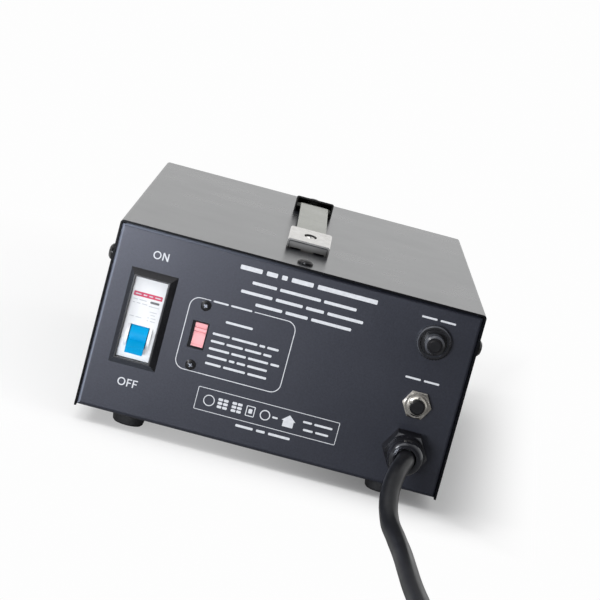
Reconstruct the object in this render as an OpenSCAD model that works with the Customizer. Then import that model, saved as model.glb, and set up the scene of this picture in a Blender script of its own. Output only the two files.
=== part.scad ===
// Mains voltage converter: a toroidal transformer in a folded sheet case with a strap handle.
// Millimetres, +Z up. The control panel faces -Y and the origin is on the floor under the middle.

/* [Case] */
// width of the cover over its side walls
case_width = 210; // [206:1:230]
// height of the case without its feet
case_height = 107.5; // [104:0.5:125]
// depth between the outer faces of the two end panels
case_depth = 340; // [320:5:400]
// thickness of the folded sheet
sheet = 1.2; // [1:0.1:1.5]
// outer radius of the folds
fold_radius = 2; // [1.8:0.1:3]
// how far the cover stands past each end panel
cover_lip = 0.5; // [0.3:0.1:1.5]
// how far the cover's walls reach below the bottom plate
skirt_drop = 0.8; // [0.4:0.1:1.5]
// depth of the flanges that the cover is screwed to
flange = 22; // [18:1:28]
// number of cooling slots in each side wall
vent_count = 14; // [6:1:18]
// width of a cooling slot
vent_width = 4; // [3:0.5:5]
// height of a cooling slot
vent_height = 36; // [20:2:44]
// distance from one cooling slot to the next
vent_pitch = 11; // [9:0.5:13]

/* [Feet] */
// height of a rubber foot
foot_height = 9; // [8:0.5:14]
// diameter of a foot where it meets the case
foot_diameter = 20; // [17:0.5:26]
// diameter of a foot on the floor
foot_base = 17.5; // [15:0.5:20]
// distance from a side wall to the middle of a foot
foot_side = 30.5; // [20:0.5:45]
// distance from an end panel to the middle of a foot
foot_end = 27; // [24:1:60]

/* [Screws] */
// head diameter of the cover screws
cover_head = 9; // [7:0.5:10]
// head height of the cover screws
cover_head_height = 2.7; // [2:0.1:3.5]
// shank diameter of the cover, foot and handle screws
shank = 4; // [3:0.5:5]
// radial room around a shank in its hole
screw_room = 0.2; // [0.1:0.05:0.4]
// distance from the top of the case to a side screw
side_screw_drop = 20.3; // [15:0.1:40]
// distance from an end panel to a side screw
side_screw_inset = 10; // [7:0.5:14]
// distance from an end panel to a top screw
top_screw_inset = 13.5; // [8:0.5:16]

/* [Handle] */
// distance from an end panel to the outer end of a handle cap
handle_inset = 63; // [50:1:80]
// width of a handle cap
cap_width = 25; // [23.5:0.5:32]
// length of a handle cap
cap_length = 23.5; // [21:0.5:32]
// height of a cap at its outer end
cap_low = 6; // [5:0.5:8]
// height of a cap at its mouth
cap_high = 10.4; // [9:0.2:14]
// thickness of the cap metal
cap_sheet = 1; // [0.8:0.1:1.2]
// width of the strap
strap_width = 17.8; // [16:0.2:20]
// thickness of the strap
strap_thick = 2.2; // [1.6:0.1:3]
// height of the gap under the middle of the strap
strap_rise = 6.8; // [5:0.2:12]

/* [Breaker] */
// distance from the left wall to the middle of the breaker
breaker_left = 25.2; // [22:0.1:28]
// distance from the top of the case to the middle of the breaker
breaker_drop = 51.5; // [48:0.5:55]
// width of the breaker
breaker_width = 18.4; // [17.5:0.1:19]
// height of the breaker's face
breaker_face = 46; // [44:0.5:48]
// height of the breaker's body behind the panel
breaker_height = 81; // [76:0.5:86]
// depth of the breaker from its face to its back
breaker_depth = 66; // [60:1:72]
// how far the breaker's face stands out of the panel
breaker_out = 1; // [0.5:0.1:3]
// width of the frame around the breaker
bezel_width = 26.8; // [25:0.2:30]
// height of the frame around the breaker
bezel_height = 55; // [53:0.5:58]
// how far the frame stands out of the panel
bezel_out = 4; // [3:0.2:6]
// width of the toggle
toggle_width = 10; // [9:0.1:12.5]
// reach of the toggle from its pivot to its tip
toggle_reach = 17; // [15:0.5:20]
// angle of the toggle below level when it is off
toggle_tilt = 25; // [18:1:28]

/* [Selector] */
// distance from the left wall to the middle of the selector
selector_left = 57.5; // [54:0.5:64]
// distance from the top of the case to the middle of the selector
selector_drop = 52.2; // [48:0.2:58]
// distance between the selector's screws
selector_spacing = 34.5; // [32:0.5:40]
// width of the window in the panel
window_width = 9.5; // [8.6:0.1:11]
// height of the window in the panel
window_height = 15.6; // [14:0.2:17]
// width of the slider
slider_width = 6.9; // [5.5:0.1:7.5]
// height of the slider
slider_height = 13.5; // [12:0.1:14.5]
// travel of the slider between its two stops
slider_travel = 4.5; // [3:0.5:5]

/* [Cut-outs and gland] */
// distance from the right wall to the column of cut-outs and gland
column_right = 24.7; // [23:0.2:32]
// distance from the top of the case to the upper cut-out
upper_drop = 21.9; // [20:0.2:25]
// distance from the bottom of the case to the gland
gland_rise = 22.5; // [18:0.1:24]
// distance from the gland up to the lower cut-out
lower_spacing = 26.6; // [25:0.1:30]
// diameter of the cut-outs' threaded necks
neck = 11; // [10:0.2:12]
// diameter of the round nut on the upper cut-out
round_nut = 19.2; // [17:0.5:22]
// width across the flats of the hexagon nut on the lower cut-out
hex_nut = 14.4; // [13.5:0.1:17]
// diameter of the upper button
upper_button = 7.4; // [6:0.1:8]
// diameter of the lower button
lower_button = 8.4; // [7:0.1:9]
// how far a tripped button springs out
button_travel = 3.5; // [2:0.5:5]
// width across the flats of the gland
gland_hex = 22; // [22:0.5:26]
// diameter of the gland's thread in the panel
gland_thread = 20; // [18:0.5:21]
// diameter of the cord
cord = 10.4; // [9:0.2:11.4]

/* [Sockets] */
// width and height of an output socket's flange
socket_flange = 50; // [46:1:54]
// thickness of the flange
socket_out = 3; // [2:0.5:4]
// distance from one output socket to the next
socket_pitch = 60; // [56:1:66]

/* [Transformer] */
// outer diameter of the wound ring
ring_diameter = 180; // [150:2:190]
// height of the wound ring
ring_height = 72; // [60:1:78]
// diameter of the hole in the wound ring
ring_hole = 56; // [44:2:70]
// thickness of the windings around the core
winding = 9; // [6:0.5:12]
// thickness of a rubber pad under and over the ring
pad = 3; // [2:0.5:5]

/* [Hidden] */
$fn = 32;
slip = 0.1;
play = 0.2;
half_in = case_width / 2 - sheet;
case_bottom = foot_height;
case_top = case_bottom + case_height;
lid_in = case_top - sheet;
floor_in = case_bottom + sheet;
gland_drop = case_height - gland_rise;
lower_drop = gland_drop - lower_spacing;
gland_flange = 5;
gland_grip = 9;
gland_dome = 13;
front_out = gland_flange + gland_grip + gland_dome;
panel_y = -case_depth / 2 + (front_out - socket_out) / 2;
back_y = panel_y + case_depth;
mid_y = (panel_y + back_y) / 2;
hole = shank + 2 * screw_room;
shank_length = 9;
vent_middle = case_bottom + 0.44 * case_height;

handle_half = case_depth / 2 - handle_inset;
cap_bevel = 0.8;
cup_hole = cap_width * 0.3;
cup_wall = 0.8;
handle_head_height = 2.4;
cup_floor = (cap_low + cap_high) / 2 - handle_head_height;
cup_at = handle_half - cap_length / 2;
handle_head = cup_hole - 0.6;
strap_end = handle_half - cap_sheet - 2;
strap_flat = strap_end - 4;
strap_slot = cup_hole + 2 * cup_wall + 2 * play;
strap_head = cap_width - 2 * cap_sheet - 1;
nut_flats = 7;
nut_height = 3.2;

bezel_room = 0.25;
bezel_shift = 0.6;
bezel_rim = 0.8;
breaker_nose = 22;
toggle_pivot = 8;
toggle_drop = 10;
toggle_gap = 0.5;
toggle_drum = 9.6;
toggle_thick = 4.2;
toggle_pin = 3;
toggle_pin_length = 1.6;
guard_width = 1.6;
guard_out = 2.2;
bracket_width = 40;
bracket_sheet = 1.5;
bracket_foot = 24;
breaker_back = panel_y - breaker_out + breaker_depth;

selector_body_width = 13.4;
selector_body_depth = 13;
selector_body_height = selector_spacing + 8;
selector_shank = 3;
selector_head = 5.9;
selector_head_height = 1.9;
selector_lid = 0.4;
slider_depth = 3.6;
slider_shift = 0.5;
slider_grooves = 2;
slider_room = selector_lid + slider_depth + play;

upper_nut_depth = 4;
nut_rim = 1.7;
nut_dish = 1.4;
lower_nut_depth = 4;
upper_neck_out = 13;
lower_neck_out = 8;
button_out = 2.6;
button_length = 12.5 + button_travel;
cutout_width = 14.5;
cutout_height = 24;
cutout_depth = 32;

gland_bore = cord + 1;
gland_front_thread = 17.4;
gland_tail = 10;
gland_mouth = cord + 1.6;
seal_depth = 8;
seal_outer = 15.6;

socket_round = 4;
shutter_drop = 1.5;
socket_body = 42;
socket_depth = 24;
socket_height = case_bottom + case_height * 0.5;
socket_count = 3;

ring_back = 40;
ring_y = mid_y + ring_back;
ring_bottom = floor_in + pad;
ring_top = ring_bottom + ring_height;
dish_sheet = 2;
bolt = 8;
bolt_head = 13;
bolt_head_height = 5.3;

// Cord route: right of the gland, out from the panel, height of the middle above the floor.
cord_route = [
    [0, -20, 0], [0, 8, 0], [0, 18, 0], [0, 28, 0],
    [-4, 46, -4.5], [-6, 64, -13.5], [-4, 82, -22], [0, 102, -25.6],
    [3, 130, -26.2], [5, 160, -26.3], [7, 190, -26.3], [10, 220, -26.3],
    [14, 256, -26.3], [17, 296, -26.3], [19, 335, -25.8], [20, 374, -25.1]];
cord_sides = 10;
cord_steps = 2;
coil_turns = 3;
coil_radius = 56;
coil_lift = 1.2;
coil_out = 375;
coil_right = 76;
tie_sheet = 1;
tie_width = 6;
// Tail from the upper turn to the plug lying on the coil, in the same terms as the route.
tail_route = [[20, 375, 5.2], [23.8, 394.1, 8], [34.6, 410.4, 12.3], [50.9, 421.2, 16.5], [70, 425, 18.5]];
plug_radius = 18;
plug_grip = 22;
plug_taper = 30;
pin_radius = 2.4;
pin_length = 19;
pin_spacing = 19;

// Shared forms
module round_rect(x0, y0, x1, y1, r) {
    translate([x0 + r, y0]) square([x1 - x0 - 2 * r, y1 - y0]);
    translate([x0, y0 + r]) square([x1 - x0, y1 - y0 - 2 * r]);
    for (x = [x0 + r, x1 - r], y = [y0 + r, y1 - r])
        translate([x, y]) circle(r);
}

module box(x, y, z) {
    translate([x[0], y[0], z[0]]) cube([x[1] - x[0], y[1] - y[0], z[1] - z[0]]);
}

module hexagon(flats, height) {
    cylinder(d = flats / cos(30), h = height, $fn = 6);
}

// Places children on the control panel: x right, y up, z out of the panel.
module on_panel(left, drop) {
    translate([left - case_width / 2, panel_y, case_top - drop]) rotate([90, 0, 0]) children();
}

module on_column(drop) {
    on_panel(case_width - column_right, drop) children();
}

// Screw with its head on z = 0 and its shank going down.
module pan_screw(head, head_height, d, length) {
    rotate_extrude($fn = 24) {
        polygon([[0, -length], [d / 2, -length], [d / 2, 0], [head / 2, 0], [head / 2, head_height * 0.45],
            [head * 0.36, head_height * 0.85], [head * 0.18, head_height], [0, head_height]]);
    }
}

// Case
module chassis_profile() {
    difference() {
        round_rect(panel_y, case_bottom, back_y, lid_in, fold_radius);
        round_rect(panel_y + sheet, floor_in, back_y - sheet, lid_in - sheet, fold_radius - sheet);
        translate([panel_y + flange, floor_in + fold_radius])
            square([case_depth - 2 * flange, case_height]);
    }
}

module end_profile() {
    difference() {
        round_rect(-half_in, 0, half_in, 3 * flange, fold_radius);
        round_rect(-half_in + sheet, sheet, half_in - sheet, 4 * flange, fold_radius - sheet);
        translate([-case_width, flange]) square([2 * case_width, 4 * flange]);
    }
}

module end_flanges() {
    intersection() {
        translate([0, 0, case_bottom]) linear_extrude(lid_in - case_bottom - fold_radius + sheet) end_profile();
        rotate([90, 0, 90]) linear_extrude(case_width, center = true)
            round_rect(0, case_bottom, 4 * flange, lid_in, fold_radius);
    }
}

// Places of the cover screws, with their heads turned outwards.
module at_cover_screws() {
    for (y = [panel_y + top_screw_inset, back_y - top_screw_inset])
        translate([0, y, case_top]) children();
    for (y = [panel_y + side_screw_inset, back_y - side_screw_inset], side = [-1, 1])
        translate([side * case_width / 2, y, case_top - side_screw_drop])
            rotate([0, side * 90, 0]) children();
}

module at_feet() {
    for (x = [foot_side - case_width / 2, case_width / 2 - foot_side],
         y = [panel_y + foot_end, back_y - foot_end])
        translate([x, y, 0]) children();
}

module chassis() color("#26282c") difference() {
    union() {
        translate([fold_radius - half_in, 0, 0]) rotate([90, 0, 90])
            linear_extrude(2 * (half_in - fold_radius)) chassis_profile();
        translate([0, panel_y, 0]) end_flanges();
        translate([0, back_y, 0]) rotate(180) end_flanges();
        box([-half_in, half_in], [panel_y + flange + 1, back_y - flange - 1], [case_bottom, floor_in]);
    }
    at_cover_screws() translate([0, 0, -2 * shank_length]) cylinder(d = hole, h = 2 * shank_length + 1);
    at_feet() cylinder(d = hole, h = floor_in + 1);
    translate([0, ring_y, 0]) cylinder(d = bolt + 2 * screw_room, h = floor_in + 1);
    on_panel(breaker_left, breaker_drop) translate([0, 0, -sheet])
        cube([breaker_width + 2 * play, breaker_face + 2 * play, 3 * sheet], center = true);
    on_panel(selector_left, selector_drop) {
        translate([0, 0, -sheet]) cube([window_width, window_height, 3 * sheet], center = true);
        for (s = [-1, 1])
            translate([0, s * selector_spacing / 2, -2 * sheet]) cylinder(d = selector_shank + 2 * screw_room,
                h = 3 * sheet);
    }
    for (drop = [upper_drop, lower_drop])
        on_column(drop) translate([0, 0, -2 * sheet]) cylinder(d = neck + 2 * play, h = 3 * sheet);
    on_column(gland_drop) translate([0, 0, -2 * sheet]) cylinder(d = gland_thread + 2 * play, h = 3 * sheet);
    at_sockets() translate([0, 0, -sheet])
        cube([socket_body + 2 * play, socket_body + 2 * play, 3 * sheet], center = true);
}

module cover_profile() {
    difference() {
        round_rect(-case_width / 2, -case_height, case_width / 2, case_top, fold_radius);
        round_rect(-half_in, -2 * case_height, half_in, lid_in, fold_radius - sheet);
        translate([-case_width, -3 * case_height])
            square([2 * case_width, 3 * case_height + case_bottom - skirt_drop]);
    }
}

module vents() {
    for (i = [0 : vent_count - 1])
        translate([-case_width, mid_y + (i - (vent_count - 1) / 2) * vent_pitch, vent_middle])
            rotate([90, 0, 90]) linear_extrude(2 * case_width)
                round_rect(-vent_width / 2, -vent_height / 2, vent_width / 2, vent_height / 2,
                    vent_width / 2 - 0.01, $fn = 16);
}

module cover() color("#2b2d31") difference() {
    translate([0, back_y + cover_lip, 0]) rotate([90, 0, 0])
        linear_extrude(case_depth + 2 * cover_lip) cover_profile();
    vents();
    at_cover_screws() translate([0, 0, -2 * shank_length]) cylinder(d = hole, h = 2 * shank_length + 1);
    at_caps() translate([0, cap_length / 2, -2 * shank_length]) cylinder(d = hole, h = 2 * shank_length + 1);
}

module cover_screws() color("#1b1c1e")
    at_cover_screws() pan_screw(cover_head, cover_head_height, shank, shank_length);

// Feet
foot_seat = foot_height * 0.45;
foot_well = foot_base * 0.56;

module rubber_feet() color("#18191b") at_feet() difference() {
    rotate_extrude() {
        polygon([[0, 0], [foot_base / 2 - 1, 0], [foot_base / 2, 1], [foot_diameter / 2, foot_height - 2],
            [foot_diameter / 2, foot_height], [0, foot_height]]);
    }
    translate([0, 0, -1]) cylinder(d = foot_well, h = foot_seat + 1);
    cylinder(d = hole, h = foot_height + 1);
}

module foot_screws() color("#8c8f94") at_feet() translate([0, 0, foot_seat]) rotate([180, 0, 0])
    pan_screw(foot_well - 1.6, foot_seat - 1.4, shank, foot_height - foot_seat + sheet + 3);

// Handle
module at_caps() {
    translate([0, mid_y - handle_half, case_top]) children();
    translate([0, mid_y + handle_half, case_top]) rotate(180) children();
}

// Wedge with its two long upper edges bevelled.
module cap_wedge(width, start, stop, drop, bevel) {
    slope = (cap_high - cap_low) / cap_length;
    side = width / 2;
    polyhedron([for (y = [start, stop]) let (z = cap_low + slope * y - drop)
            each [[-side, y, -1], [side, y, -1], [side, y, z - bevel], [side - bevel, y, z],
                [bevel - side, y, z], [-side, y, z - bevel]]],
        [[5, 4, 3, 2, 1, 0], [6, 7, 8, 9, 10, 11], [0, 1, 7, 6], [1, 2, 8, 7], [2, 3, 9, 8], [3, 4, 10, 9],
            [4, 5, 11, 10], [5, 0, 6, 11]]);
}

module handle_cap() {
    inner = cap_width - 2 * cap_sheet;
    flap_set = 0.9;
    notch = inner * 0.28;
    difference() {
        union() {
            difference() {
                cap_wedge(cap_width, 0, cap_length, 0, cap_bevel);
                cap_wedge(inner, flap_set + cap_sheet, cap_length + 1, cap_sheet, cap_bevel / 2);
                cap_wedge(inner, -1, flap_set, cap_sheet, cap_bevel / 2);
            }
            intersection() {
                cap_wedge(cap_width, 0, cap_length, 0, cap_bevel);
                translate([0, cap_length / 2, -1]) cylinder(d = cup_hole + 2 * cup_wall, h = cap_high + 2);
            }
        }
        translate([0, cap_length / 2, cup_floor]) cylinder(d = cup_hole, h = cap_high);
        translate([0, cap_length / 2, -2]) cylinder(d = hole, h = cap_high);
        for (s = [-1, 1])
            translate([s * inner * 0.3 - notch / 2, -1, -2]) cube([notch, flap_set + cap_sheet + 1.5, 2.9]);
        translate([-cap_width, -cap_width, -10]) cube([2 * cap_width, 3 * cap_width, 10]);
    }
}

module handle_cap_front() color("#c9c9c4") translate([0, mid_y - handle_half, case_top]) handle_cap();

module handle_cap_rear() color("#c9c9c4")
    translate([0, mid_y + handle_half, case_top]) rotate(180) handle_cap();

// Underside of the strap at a distance from its middle: bowed up, and flat on the case at its ends.
function strap_low(s) = strap_rise * (1 - pow(min(abs(s) / strap_flat, 1), 5));

module strap_side() {
    steps = 36;
    places = [for (i = [0 : steps]) -strap_flat + 2 * strap_flat * i / steps];
    under = [for (s = places) [s, strap_low(s)]];
    over = [for (i = [steps : -1 : 0]) [places[i], strap_low(places[i]) + strap_thick]];
    polygon(concat([[-strap_end, 0]], under, [[strap_end, 0], [strap_end, strap_thick]], over,
        [[-strap_end, strap_thick]]));
}

module handle_strap() color("#55575a") translate([0, mid_y, case_top]) difference() {
    translate([-strap_head / 2, 0, 0]) rotate([90, 0, 90]) linear_extrude(strap_head) strap_side();
    for (s = [-1, 1]) {
        translate([s * (strap_width / 2 + strap_head / 2), 0, 0])
            cube([strap_head, 2 * (handle_half - cap_length + 3), 4 * strap_rise], center = true);
        translate([-strap_slot / 2, s * cup_at - strap_slot / 2 - 1.5, -1])
            cube([strap_slot, strap_slot + 3, 3 * strap_rise]);
    }
}

module handle_screws() color("#b4b6b8") at_caps() translate([0, cap_length / 2, cup_floor])
    pan_screw(handle_head, handle_head_height, shank, cup_floor + sheet + nut_height + 2);

module handle_nuts() color("#a8aaac") at_caps() translate([0, cap_length / 2, -sheet - nut_height])
    difference() {
        hexagon(nut_flats, nut_height);
        translate([0, 0, -1]) cylinder(d = shank + 2 * slip, h = nut_height + 2);
    }

// Breaker
// Frame with one sloped face on each side, from its foot on the panel up to its rim.
module bezel_slope(right, left, rim_x, rim_y) {
    foot = bezel_height / 2;
    polyhedron([[-left, -foot, 0], [right, -foot, 0], [right, foot, 0], [-left, foot, 0],
            [-rim_x, -rim_y, bezel_out], [rim_x, -rim_y, bezel_out],
            [rim_x, rim_y, bezel_out], [-rim_x, rim_y, bezel_out]],
        [[0, 1, 2, 3], [4, 7, 6, 5], [0, 4, 5, 1], [1, 5, 6, 2], [2, 6, 7, 3], [3, 7, 4, 0]]);
}

module breaker_bezel() color("#1d1e21") on_panel(breaker_left, breaker_drop) difference() {
    rim_x = breaker_width + 2 * (bezel_room + bezel_rim);
    rim_y = breaker_face + 2 * (bezel_room + bezel_rim);
    bezel_slope(bezel_width / 2 + bezel_shift, bezel_width / 2 - bezel_shift, rim_x / 2, rim_y / 2);
    translate([0, 0, bezel_out / 2])
        cube([breaker_width + 2 * bezel_room, breaker_face + 2 * bezel_room, 2 * bezel_out], center = true);
}

module breaker_outline() {
    shoulder = breaker_nose - breaker_out;
    back = breaker_depth - breaker_out;
    polygon([[breaker_out, -breaker_face / 2], [breaker_out, breaker_face / 2], [-shoulder, breaker_face / 2],
        [-shoulder, breaker_height / 2], [-back, breaker_height / 2], [-back, -breaker_height / 2],
        [-shoulder, -breaker_height / 2], [-shoulder, -breaker_face / 2]]);
}

module breaker_body() color("#eceded") on_panel(breaker_left, breaker_drop) difference() {
    union() {
        translate([-breaker_width / 2, 0, 0]) rotate([0, -90, 180])
            linear_extrude(breaker_width) breaker_outline();
        for (s = [-1, 1])
            translate([s * (toggle_width / 2 + toggle_gap + guard_width / 2), -toggle_drop,
                    breaker_out - toggle_pivot])
                rotate([0, 90, 0]) cylinder(r = toggle_pivot + guard_out, h = guard_width, center = true,
                    $fn = 48);
    }
    translate([0, -toggle_drop, breaker_out - toggle_pivot]) rotate([0, 90, 0]) {
        cylinder(r = toggle_drum + play, h = toggle_width + 2 * toggle_gap, center = true, $fn = 48);
        cylinder(d = toggle_pin + 2 * slip, h = toggle_width + 2 * (toggle_pin_length + play), center = true);
    }
    slot = toggle_pivot * tan(toggle_tilt) + toggle_thick / 2 / cos(toggle_tilt) + play;
    translate([0, -toggle_drop, breaker_out])
        cube([toggle_width + 2 * toggle_gap, 2 * slot, 2 * toggle_pivot], center = true);
    for (s = [-1, 1])
        translate([0, s * (breaker_height / 2 - 10), -breaker_nose + breaker_out - 6])
            cylinder(d = 7, h = 12);
}

// Toggle at rest in its off position, turning about the pivot with the tip down.
module breaker_toggle() color("#1b8fd6") on_panel(breaker_left, breaker_drop)
    translate([0, -toggle_drop, breaker_out - toggle_pivot]) rotate([0, 90, 0]) {
        cylinder(r = toggle_drum, h = toggle_width, center = true, $fn = 48);
        cylinder(d = toggle_pin, h = toggle_width + 2 * toggle_pin_length, center = true);
        rotate([0, 0, toggle_tilt]) translate([-toggle_reach, -toggle_thick / 2, -toggle_width / 2])
            cube([toggle_reach, toggle_thick, toggle_width]);
    }

module breaker_bracket() color("#9a9da0") translate([breaker_left - case_width / 2, breaker_back, floor_in]) {
    top = lid_in - floor_in - 14;
    box([-bracket_width / 2, bracket_width / 2], [0, bracket_sheet], [0, top]);
    difference() {
        box([-bracket_width / 2, bracket_width / 2], [0, bracket_foot], [0, bracket_sheet]);
        for (x = [-1, 1])
            translate([x * bracket_width * 0.3, bracket_foot * 0.6, -1])
                cylinder(d = hole, h = bracket_sheet + 2);
    }
}

// Selector
slider_front = -sheet - selector_lid;

module selector_body() color("#202124") on_panel(selector_left, selector_drop) difference() {
    translate([-selector_body_width / 2, -selector_body_height / 2, -sheet - selector_body_depth])
        cube([selector_body_width, selector_body_height, selector_body_depth]);
    translate([slider_shift - slider_width / 2 - play, -slider_height / 2 - play, -sheet - slider_room])
        cube([slider_width + 2 * play, slider_height + slider_travel + 2 * play, slider_room + 1]);
    for (s = [-1, 1])
        translate([0, s * selector_spacing / 2, -sheet - selector_body_depth - 1])
            cylinder(d = selector_shank + 2 * screw_room, h = selector_body_depth + 2);
}

module selector_slider() color("#d8545a") on_panel(selector_left, selector_drop) difference() {
    translate([slider_shift - slider_width / 2, -slider_height / 2, slider_front - slider_depth])
        cube([slider_width, slider_height, slider_depth]);
    translate([0, -slider_height * 0.17, slider_front])
        cube([slider_width * 2, slider_height * 0.5, 1.2], center = true);
    for (i = [0 : slider_grooves - 1])
        translate([0, slider_height * (0.14 + 0.17 * i), slider_front])
            cube([slider_width * 2, slider_height * 0.065, 1.8], center = true);
}

module selector_screws() color("#141517") on_panel(selector_left, selector_drop)
    for (s = [-1, 1])
        translate([0, s * selector_spacing / 2, 0])
            pan_screw(selector_head, selector_head_height, selector_shank, selector_body_depth);

// Resettable cut-outs
module cutout_body(button, neck_out) {
    seat = neck_out + button_out - button_length;
    bevel = (neck - button) * 0.3;
    difference() {
        union() {
            translate([-cutout_width / 2, -cutout_height / 2, -sheet - cutout_depth])
                cube([cutout_width, cutout_height, cutout_depth]);
            translate([0, 0, -sheet - 1]) cylinder(d = neck, h = neck_out - bevel + sheet + 1);
            translate([0, 0, neck_out - bevel]) cylinder(d1 = neck, d2 = neck - 2 * bevel, h = bevel);
        }
        translate([0, 0, seat]) cylinder(d = button + 2 * slip, h = button_length);
    }
    for (s = [-1, 1])
        translate([-3, s * cutout_height * 0.3 - 0.4, -sheet - cutout_depth - 8]) cube([6, 0.8, 9]);
}

module cutout_button(button, neck_out) {
    seat = neck_out + button_out - button_length;
    round = button * 0.1;
    translate([0, 0, seat]) rotate_extrude()
        polygon([[0, 0], [button / 2, 0], [button / 2, button_length - round],
            [button / 2 - round, button_length], [0, button_length]]);
}

module upper_cutout_body() color("#17181a") on_column(upper_drop) cutout_body(upper_button, upper_neck_out);

module upper_cutout_nut() color("#1a1b1d") on_column(upper_drop) difference() {
    ridges = 36;
    union() {
        rotate_extrude() polygon([[0, 0], [round_nut / 2, 0], [round_nut / 2, upper_nut_depth - 0.8],
            [round_nut / 2 - 0.6, upper_nut_depth], [round_nut / 2 - nut_rim, upper_nut_depth],
            [round_nut / 2 - nut_rim - 0.5, upper_nut_depth - nut_dish], [0, upper_nut_depth - nut_dish]]);
        for (i = [0 : ridges - 1])
            rotate(i * 360 / ridges) translate([round_nut / 2 - 0.3, -0.4, 0])
                cube([0.6, 0.8, upper_nut_depth - 1]);
    }
    translate([0, 0, -1]) cylinder(d = neck + 2 * slip, h = upper_nut_depth + 2);
}

module upper_cutout_button() color("#101113") on_column(upper_drop)
    cutout_button(upper_button, upper_neck_out);

module lower_cutout_body() color("#b9bbbd") on_column(lower_drop) cutout_body(lower_button, lower_neck_out);

module lower_cutout_nut() color("#c8cacc") on_column(lower_drop) difference() {
    intersection() {
        hexagon(hex_nut, lower_nut_depth);
        rotate_extrude() polygon([[0, 0], [hex_nut, 0], [hex_nut * 0.58, lower_nut_depth - 0.9],
            [hex_nut * 0.48, lower_nut_depth], [0, lower_nut_depth]]);
    }
    translate([0, 0, -1]) cylinder(d = neck + 2 * slip, h = lower_nut_depth + 2);
}

module lower_cutout_button() color("#101113") on_column(lower_drop)
    cutout_button(lower_button, lower_neck_out);

// Cable gland
module gland_body() color("#17181a") on_column(gland_drop) difference() {
    union() {
        hexagon(gland_hex, gland_flange);
        translate([0, 0, -sheet - gland_tail]) cylinder(d = gland_thread, h = gland_tail + sheet + 1);
        cylinder(d = gland_front_thread, h = gland_flange + gland_grip);
    }
    translate([0, 0, -sheet - gland_tail - 1]) cylinder(d = gland_bore, h = gland_tail + front_out);
}

module gland_dome_nut() color("#1a1b1d") on_column(gland_drop) difference() {
    rim = gland_hex * 0.46;
    end = gland_flange + gland_grip;
    nose = gland_mouth / 2 + 1;
    round = gland_dome * 0.45;
    arc = [for (a = [0 : 10 : 90]) [nose + (rim - nose) * cos(a), gland_dome - round * (1 - sin(a))]];
    union() {
        translate([0, 0, gland_flange]) intersection() {
            hexagon(gland_hex, gland_grip);
            cylinder(d1 = gland_hex * 1.6, d2 = gland_hex * 1.03, h = gland_grip);
        }
        translate([0, 0, end]) rotate_extrude()
            polygon(concat([[0, -1], [rim, -1]], arc, [[0, gland_dome]]));
    }
    translate([0, 0, gland_flange - 1]) cylinder(d = gland_front_thread + 2 * slip, h = gland_grip + 1);
    translate([0, 0, end - 1]) cylinder(d = seal_outer + 2 * slip, h = seal_depth + 1);
    translate([0, 0, end]) cylinder(d = gland_mouth, h = gland_dome + 1);
}

module gland_lock_nut() color("#1a1b1d") on_column(gland_drop) translate([0, 0, -sheet - 5]) difference() {
    hexagon(gland_hex, 5);
    translate([0, 0, -1]) cylinder(d = gland_thread + 2 * slip, h = 7);
}

module gland_seal() color("#0f1011") on_column(gland_drop)
    translate([0, 0, gland_flange + gland_grip]) difference() {
        cylinder(d = seal_outer, h = seal_depth);
        translate([0, 0, -1]) cylinder(d = cord, h = seal_depth + 2);
    }

// Output sockets on the far panel
module at_socket(i) {
    translate([(i - (socket_count - 1) / 2) * socket_pitch, back_y, socket_height])
        rotate([90, 0, 180]) children();
}

module at_sockets() {
    for (i = [0 : socket_count - 1]) at_socket(i) children();
}

module output_socket() {
    difference() {
        union() {
            linear_extrude(socket_out) round_rect(-socket_flange / 2, -socket_flange / 2, socket_flange / 2,
                socket_flange / 2, socket_round);
            translate([-socket_body / 2, -socket_body / 2, -socket_depth])
                cube([socket_body, socket_body, socket_depth + 1]);
        }
        translate([0, 0, socket_out - shutter_drop]) {
            for (x = [-9.5, 9.5])
                translate([x, 2, 0]) cylinder(d = 5.2, h = socket_out);
            for (x = [-6.4, 6.4])
                translate([x - 1, -2.2, 0]) cube([2, 8.4, socket_out]);
            translate([0, -11, 0]) cylinder(d = 5.6, h = socket_out);
        }
    }
}

module output_socket_left() color("#232427") at_socket(0) output_socket();

module output_socket_middle() color("#232427") at_socket(1) output_socket();

module output_socket_right() color("#232427") at_socket(2) output_socket();

// Transformer ring, turned from its half section
module ring_section(grow) {
    inner = ring_hole / 2 + winding;
    outer = ring_diameter / 2 - winding;
    round_rect(inner - grow, winding - grow, outer + grow, ring_height - winding + grow,
        1 + grow * 0.7, $fn = 16);
}

module ring_core() color("#6d7074") translate([0, ring_y, ring_bottom])
    rotate_extrude($fn = 48) ring_section(0);

module ring_winding() color("#b06a33") translate([0, ring_y, ring_bottom])
    rotate_extrude($fn = 48) difference() {
        ring_section(winding);
        ring_section(0.02);
    }

module ring_pad(z) {
    translate([0, ring_y, z]) difference() {
        cylinder(d = ring_diameter - 8, h = pad, $fn = 48);
        translate([0, 0, -1]) cylinder(d = bolt + 2, h = pad + 2);
    }
}

module ring_lower_pad() color("#1c1d1f") ring_pad(floor_in);

module ring_upper_pad() color("#1c1d1f") ring_pad(ring_top);

module ring_dish() color("#a9acaf") translate([0, ring_y, ring_top + pad]) difference() {
    cylinder(d = ring_diameter * 0.62, h = dish_sheet, $fn = 48);
    translate([0, 0, -1]) cylinder(d = bolt + 2 * screw_room, h = dish_sheet + 2);
}

module ring_bolt() color("#b7b9bb") translate([0, ring_y, case_bottom]) {
    translate([0, 0, -bolt_head_height]) hexagon(bolt_head, bolt_head_height);
    cylinder(d = bolt, h = ring_top + pad + dish_sheet + 9 - case_bottom);
}

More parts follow.
